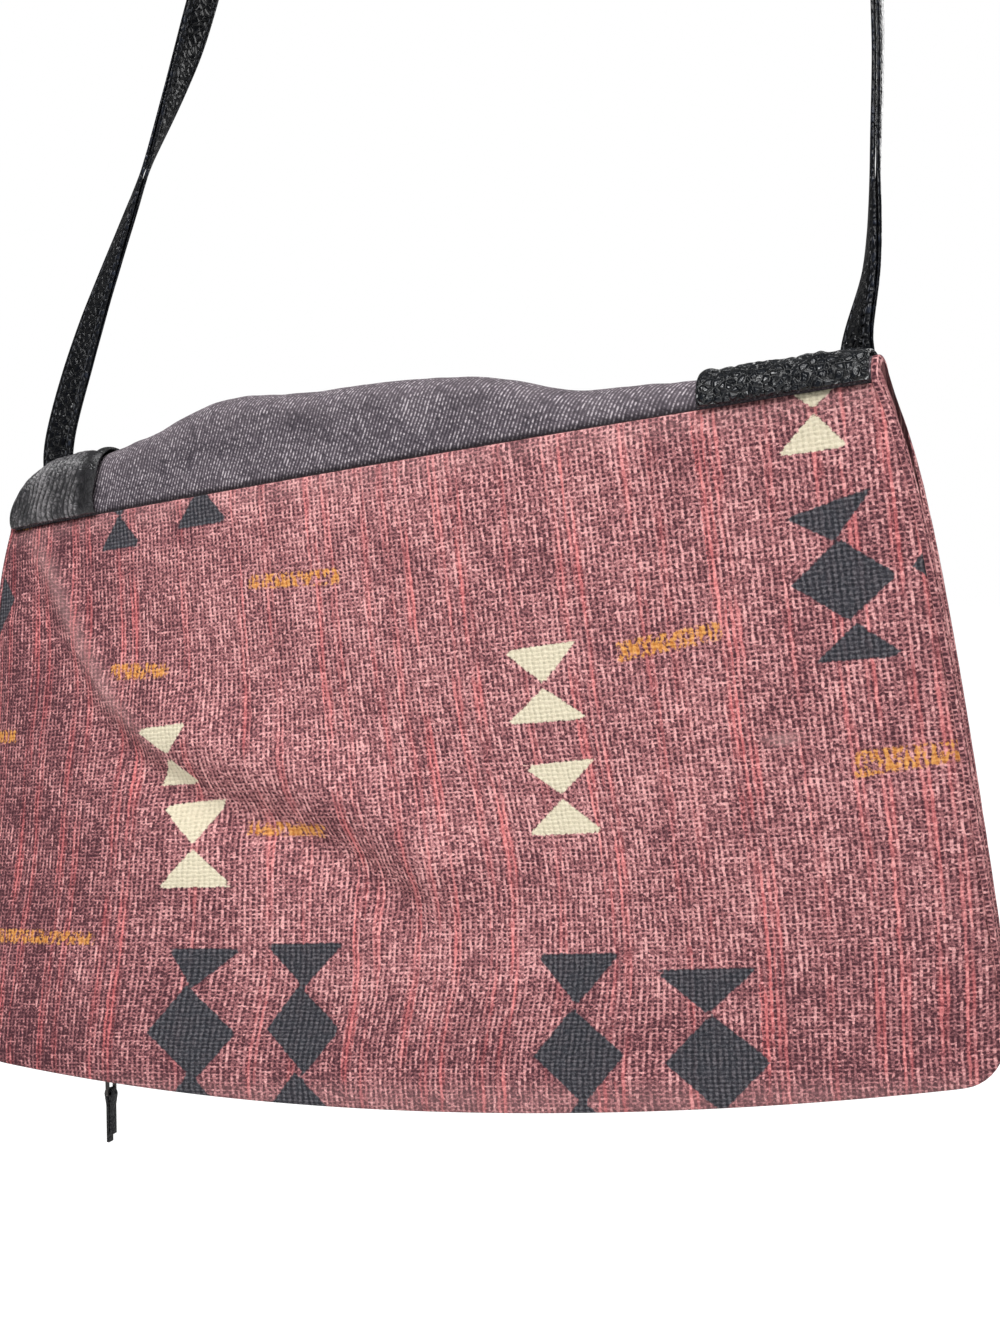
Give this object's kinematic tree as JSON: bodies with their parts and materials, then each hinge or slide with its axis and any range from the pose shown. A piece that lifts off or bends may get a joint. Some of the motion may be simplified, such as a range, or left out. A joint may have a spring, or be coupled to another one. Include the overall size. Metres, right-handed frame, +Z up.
{
  "type": "crossbody bag",
  "caption": "Fold-over crossbody bag: printed canvas flap with a zip in its hem, grey denim top band and back, black leather corners and a narrow leather strap.",
  "frame": {"origin": "the flat underside of the strap's crown, where the bag hangs", "axes": "+Z up, -Y out of the printed front, +X to the viewer's right. The bag hangs 6.5 degrees out of level, as in the picture"},
  "size_m": [0.3518, 0.1078, 0.7899],
  "materials": {
    "printed_canvas": "slubby woven canvas with a printed stripe and triangle pattern",
    "denim": "grey twill denim",
    "lining_cloth": "plain cotton lining",
    "corner_leather": "pebbled black leather",
    "strap_leather": "smooth black leather with folded edges",
    "zip_tape": "black woven tape",
    "zip_metal": "dark metal",
    "thong_leather": "black leather strip"
  },
  "bodies": {
    "bag": {"flap_panel": "printed_canvas", "top_panel": "denim", "inner_panel": "denim", "outer_lining": "lining_cloth", "inner_lining": "lining_cloth", "leather_corner_left": "corner_leather", "leather_corner_right": "corner_leather", "side_strip_left": "printed_canvas", "side_strip_right": "printed_canvas", "bottom_welt": "denim", "zip_tape_front": "zip_tape", "zip_tape_back": "zip_tape", "zip_teeth_front": "zip_metal", "zip_teeth_back": "zip_metal", "zip_bottom_stop": "zip_metal", "zip_top_stop_front": "zip_metal", "zip_top_stop_back": "zip_metal", "strap_inner_ply": "strap_leather", "strap_outer_ply": "strap_leather"},
    "slider": {"slider_body": "zip_metal"},
    "pull": {"slider_pull": "zip_metal", "pull_thong": "thong_leather"}
  },
  "joints": [
    {"name": "zip_slide", "type": "hinge", "parent": "bag", "child": "slider", "pos_m": [-0.11494, 0.63448, 0.04236], "axis": [-0.0173, -0.7432, 0.6689], "range_deg": [0, 13.4]},
    {"name": "pull_swing", "type": "hinge", "parent": "slider", "child": "pull", "pos_m": [-0.11462, -0.08802, -0.76344], "axis": [0.0128, 0.9999, -0.0032], "range_deg": [-85, 85]}
  ]
}
